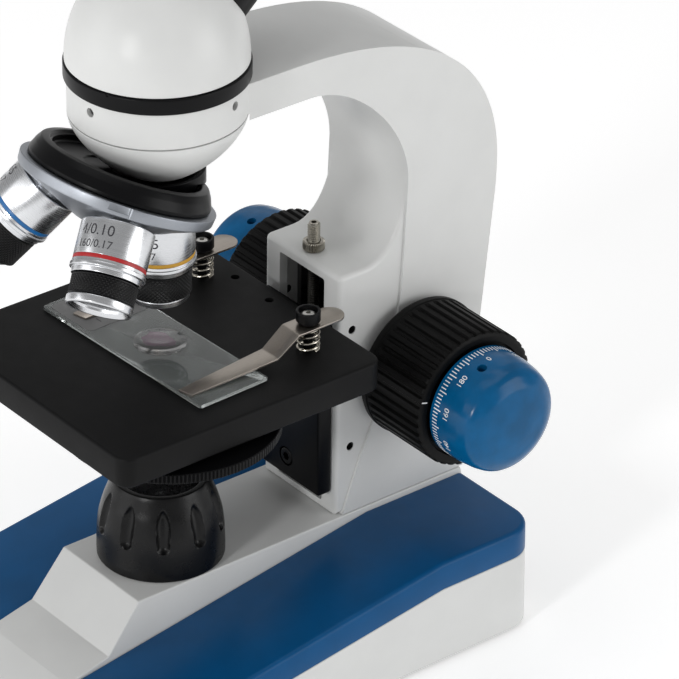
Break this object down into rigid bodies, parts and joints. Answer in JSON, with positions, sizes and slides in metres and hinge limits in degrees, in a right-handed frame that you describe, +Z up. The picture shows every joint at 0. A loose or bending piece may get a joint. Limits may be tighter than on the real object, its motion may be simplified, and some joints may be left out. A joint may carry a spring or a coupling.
{
  "type": "compound microscope",
  "caption": "Student compound microscope with a cast C-shaped arm, focusing stage, turning nosepiece with objectives, turning inclined head, coaxial focus knobs and a lit base.",
  "frame": {"origin": "centre of the footprint's box on the floor the feet stand on", "axes": "+Z up, +Y from the front of the base towards the arm, +X to the side of the right-hand focus knob"},
  "size_m": [0.1396, 0.1914, 0.3171],
  "materials": {
    "white_paint": "satin off-white powder coat",
    "blue_paint": "satin blue",
    "blue_cap": "glossy blue with white printed dial",
    "black_sheet": "black sheet steel",
    "black_plastic": "fine-grained black",
    "rubber": "matt black",
    "lamp_black": "grainy semi-gloss black",
    "glass": "clear, faintly green at the edges",
    "led": "white lamp",
    "steel": "bright brushed steel",
    "nickel": "warm nickel plate",
    "brass": "machined brass",
    "knob_black": "black ribbed plastic",
    "stage_black": "matt black crinkle paint",
    "black_trim": "satin black",
    "turret_metal": "satin cast and turned aluminium",
    "objective_chrome": "satin chrome with a coloured band",
    "objective_grip": "black knurl with a bright nose"
  },
  "bodies": {
    "stand": {"base_shell": "white_paint", "left_wing": "blue_paint", "right_wing": "blue_paint", "bottom_plate": "black_sheet", "battery_cover": "black_plastic", "battery_holder": "black_plastic", "dc_inlet": "black_plastic", "foot_front_left": "rubber", "foot_front_right": "rubber", "foot_rear_left": "rubber", "foot_rear_right": "rubber", "lamp_housing": "lamp_black", "collector_lens": "glass", "led_lamp": "led", "arm": "white_paint", "guide_rail_left": "steel", "guide_rail_right": "steel", "head_cup": "white_paint", "head_ring": "black_trim", "nosepiece_collar": "black_trim", "nosepiece_cover": "black_trim", "turret_pivot_screw": "steel"},
    "rocker": {"power_switch": "black_plastic"},
    "stop_bolt": {"stop_screw": "nickel"},
    "stop_locknut": {"stop_nut": "nickel"},
    "coarse_drive": {"coarse_shaft": "steel", "focus_pinion": "brass", "coarse_knob_left": "knob_black", "coarse_knob_right": "knob_black"},
    "fine_drive": {"fine_shaft": "steel", "fine_knob_left": "blue_cap", "fine_knob_right": "blue_cap"},
    "carriage_slide": {"carriage": "stage_black", "focus_rack": "brass"},
    "stage": {"stage_plate": "stage_black", "stage_bracket": "stage_black", "bracket_screw": "steel", "diaphragm_pivot": "steel", "clip_post_left": "black_trim", "clip_post_right": "black_trim", "clip_spring_left": "steel", "clip_spring_right": "steel"},
    "diaphragm": {"disc_diaphragm": "stage_black"},
    "left_clip": {"stage_clip_left": "steel"},
    "right_clip": {"stage_clip_right": "steel"},
    "slide_glass": {"specimen_slide": "glass"},
    "turret": {"turret_body": "turret_metal", "objective_10x_barrel": "objective_chrome", "objective_4x_barrel": "objective_chrome", "objective_40x_barrel": "objective_chrome", "objective_10x_nose": "objective_grip", "objective_4x_nose": "objective_grip", "objective_40x_nose": "objective_grip"},
    "viewing_head": {"head_dome": "white_paint", "prism": "glass", "prism_seat": "stage_black", "eyepiece_tube": "black_trim"},
    "eyepiece": {"eyepiece_barrel": "black_trim", "eye_lens": "glass", "eyecup": "rubber"}
  },
  "joints": [
    {"name": "coarse_focus", "type": "hinge", "parent": "stand", "child": "coarse_drive", "pos_m": [0, 0.0633, 0.0856], "axis": [-1, 0, 0], "range_deg": [-80, 92]},
    {"name": "carriage_lift", "type": "slide", "parent": "stand", "child": "carriage_slide", "axis": [0, 0, 1], "range_m": [-0.00695, 0.008]},
    {"name": "fine_focus", "type": "hinge", "parent": "stand", "child": "fine_drive", "pos_m": [0, 0.0633, 0.0856], "axis": [-1, 0, 0], "range_deg": [-360, 360]},
    {"name": "stage_fine_lift", "type": "slide", "parent": "carriage_slide", "child": "stage", "axis": [0, 0, 1], "range_m": [-0.0004, 0.0004]},
    {"name": "nosepiece_turn", "type": "hinge", "parent": "stand", "child": "turret", "pos_m": [0, -0.02, 0.2033], "axis": [0, 0.4226, 0.9063], "continuous": true},
    {"name": "head_turn", "type": "hinge", "parent": "stand", "child": "viewing_head", "pos_m": [0, -0.02, 0.2114], "axis": [0, 0, 1], "continuous": true},
    {"name": "eyepiece_turn", "type": "hinge", "parent": "viewing_head", "child": "eyepiece", "pos_m": [0, -0.02, 0.2119], "axis": [0, 0.7431, 0.6691], "continuous": true},
    {"name": "diaphragm_turn", "type": "hinge", "parent": "stage", "child": "diaphragm", "pos_m": [0.0184, -0.0295, 0.0972], "axis": [0, 0, 1], "continuous": true},
    {"name": "left_clip_swing", "type": "hinge", "parent": "stage", "child": "left_clip", "pos_m": [-0.026, 0.0158, 0.1184], "axis": [0, 0, 1], "range_deg": [-45, 10]},
    {"name": "right_clip_swing", "type": "hinge", "parent": "stage", "child": "right_clip", "pos_m": [0.029, 0.014, 0.1184], "axis": [0, 0, 1], "range_deg": [-10, 45]},
    {"name": "specimen_shift", "type": "slide", "parent": "stage", "child": "slide_glass", "axis": [0.9993, 0.0366, 0], "range_m": [-0.012, 0.012]},
    {"name": "stop_screw_turn", "type": "hinge", "parent": "stand", "child": "stop_bolt", "pos_m": [-0.001, 0.0398, 0.1264], "axis": [0, 0, 1], "range_deg": [-180, 180]},
    {"name": "stop_nut_turn", "type": "hinge", "parent": "stand", "child": "stop_locknut", "pos_m": [-0.001, 0.0398, 0.1254], "axis": [0, 0, 1], "range_deg": [-180, 180]},
    {"name": "power_rocker", "type": "hinge", "parent": "stand", "child": "rocker", "pos_m": [0.032, 0.0848, 0.0164], "axis": [1, 0, 0], "range_deg": [-14, 0]}
  ],
  "couplings": [
    {"joint": "coarse_focus", "follows": "carriage_lift", "rad_per_m": 200},
    {"joint": "fine_focus", "follows": "stage_fine_lift", "rad_per_m": 15700}
  ]
}
